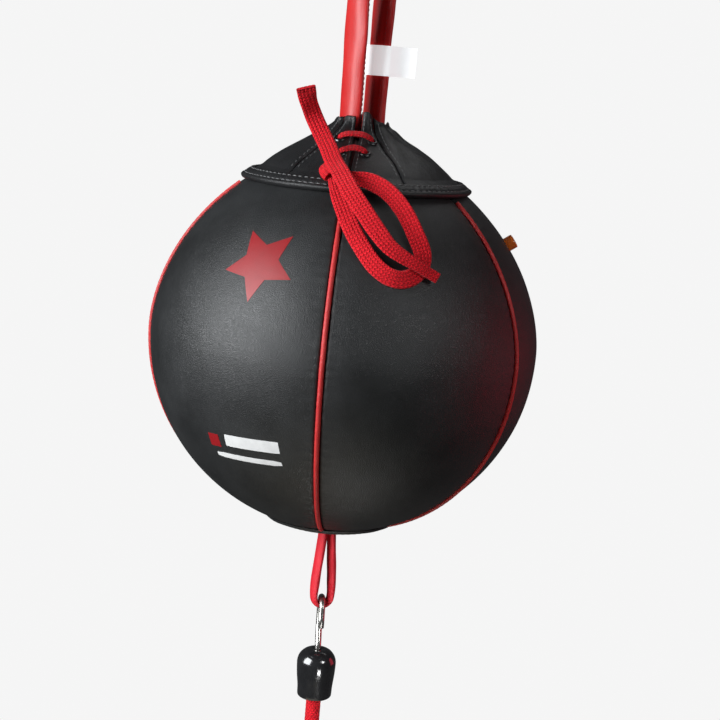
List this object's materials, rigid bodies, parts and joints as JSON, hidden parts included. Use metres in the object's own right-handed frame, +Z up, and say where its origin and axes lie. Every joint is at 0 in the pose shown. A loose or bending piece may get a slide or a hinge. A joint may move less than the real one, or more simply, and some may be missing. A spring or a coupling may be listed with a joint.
{
  "type": "double-end bag",
  "caption": "Inflated leather striking ball with red piping and a laced neck, hung from a strap loop, with an elastic cord hooked into a small loop below it.",
  "frame": {"origin": "the inside of the hanging loop's crown, where it bears on the hook that carries it", "axes": "+Z up along the bag's hanging axis, -Y towards the laced front, +X to the right seen from the front"},
  "size_m": [0.2042, 0.2043, 0.5259],
  "materials": {
    "ball_leather": "fine-grained satin leather",
    "collar_leather": "soft satin leather",
    "strap_leather": "polished red leather",
    "piping": "satin red leather",
    "lace": "woven red lace",
    "label": "smooth white woven label",
    "rubber": "matt butyl rubber",
    "valve_rubber": "glossy orange rubber",
    "black_metal": "black enamelled eyelets",
    "steel": "polished plated steel wire",
    "cap_plastic": "gloss black moulding",
    "elastic": "red diagonally woven cover"
  },
  "bodies": {
    "hanger": {"top_loop": "strap_leather", "label": "label"},
    "ball": {"loop_anchor": "strap_leather", "panel_1": "ball_leather", "panel_2": "ball_leather", "panel_3": "ball_leather", "panel_4": "ball_leather", "panel_5": "ball_leather", "piping_1": "piping", "piping_2": "piping", "piping_3": "piping", "piping_4": "piping", "piping_5": "piping", "bladder": "rubber", "inflation_valve": "valve_rubber", "facing_left": "collar_leather", "facing_right": "collar_leather", "collar_right": "collar_leather", "collar_left": "collar_leather", "collar_hem": "collar_leather", "tongue": "collar_leather", "eyelet_lower_left": "black_metal", "eyelet_lower_right": "black_metal", "eyelet_upper_left": "black_metal", "eyelet_upper_right": "black_metal", "lace_crossing_lower": "lace", "lace_crossing_upper": "lace", "lace_knot": "lace", "lace_bow": "lace", "lace_tail_short": "lace", "lace_tail_long": "lace", "bottom_patch": "ball_leather", "lower_loop_anchor": "strap_leather"},
    "lower_strap": {"lower_loop": "strap_leather"},
    "upper_hook": {"bag_hook": "steel"},
    "cord_top": {"bag_end_cap": "cap_plastic", "bag_crimp": "steel", "elastic_cord": "elastic"},
    "cord_foot": {"floor_end_cap": "cap_plastic", "floor_crimp": "steel"},
    "foot_hook": {"floor_hook": "steel"}
  },
  "joints": [
    {"name": "ball_swing", "type": "hinge", "parent": "hanger", "child": "ball", "pos_m": [0, 0, -0.081], "axis": [-0.6691, 0.7431, 0], "range_deg": [-35, 35]},
    {"name": "lower_loop_swing", "type": "hinge", "parent": "ball", "child": "lower_strap", "pos_m": [0, 0, -0.3075], "axis": [-0.342, 0.9397, 0], "range_deg": [-40, 40]},
    {"name": "hook_rock", "type": "hinge", "parent": "lower_strap", "child": "upper_hook", "pos_m": [0, 0, -0.35175], "axis": [0.9962, 0.0872, 0], "range_deg": [-40, 40]},
    {"name": "bag_cap_swivel", "type": "hinge", "parent": "upper_hook", "child": "cord_top", "pos_m": [0, 0, -0.3835], "axis": [0, 0, 1], "continuous": true},
    {"name": "cord_stretch", "type": "slide", "parent": "cord_top", "child": "cord_foot", "axis": [0, 0, -1], "range_m": [0, 0.06], "stiffness_N_per_m": 150, "springref_m": -0.006, "deforming": ["elastic_cord"]},
    {"name": "floor_hook_swivel", "type": "hinge", "parent": "cord_foot", "child": "foot_hook", "pos_m": [0, 0, -0.4835], "axis": [0, 0, 1], "continuous": true}
  ]
}
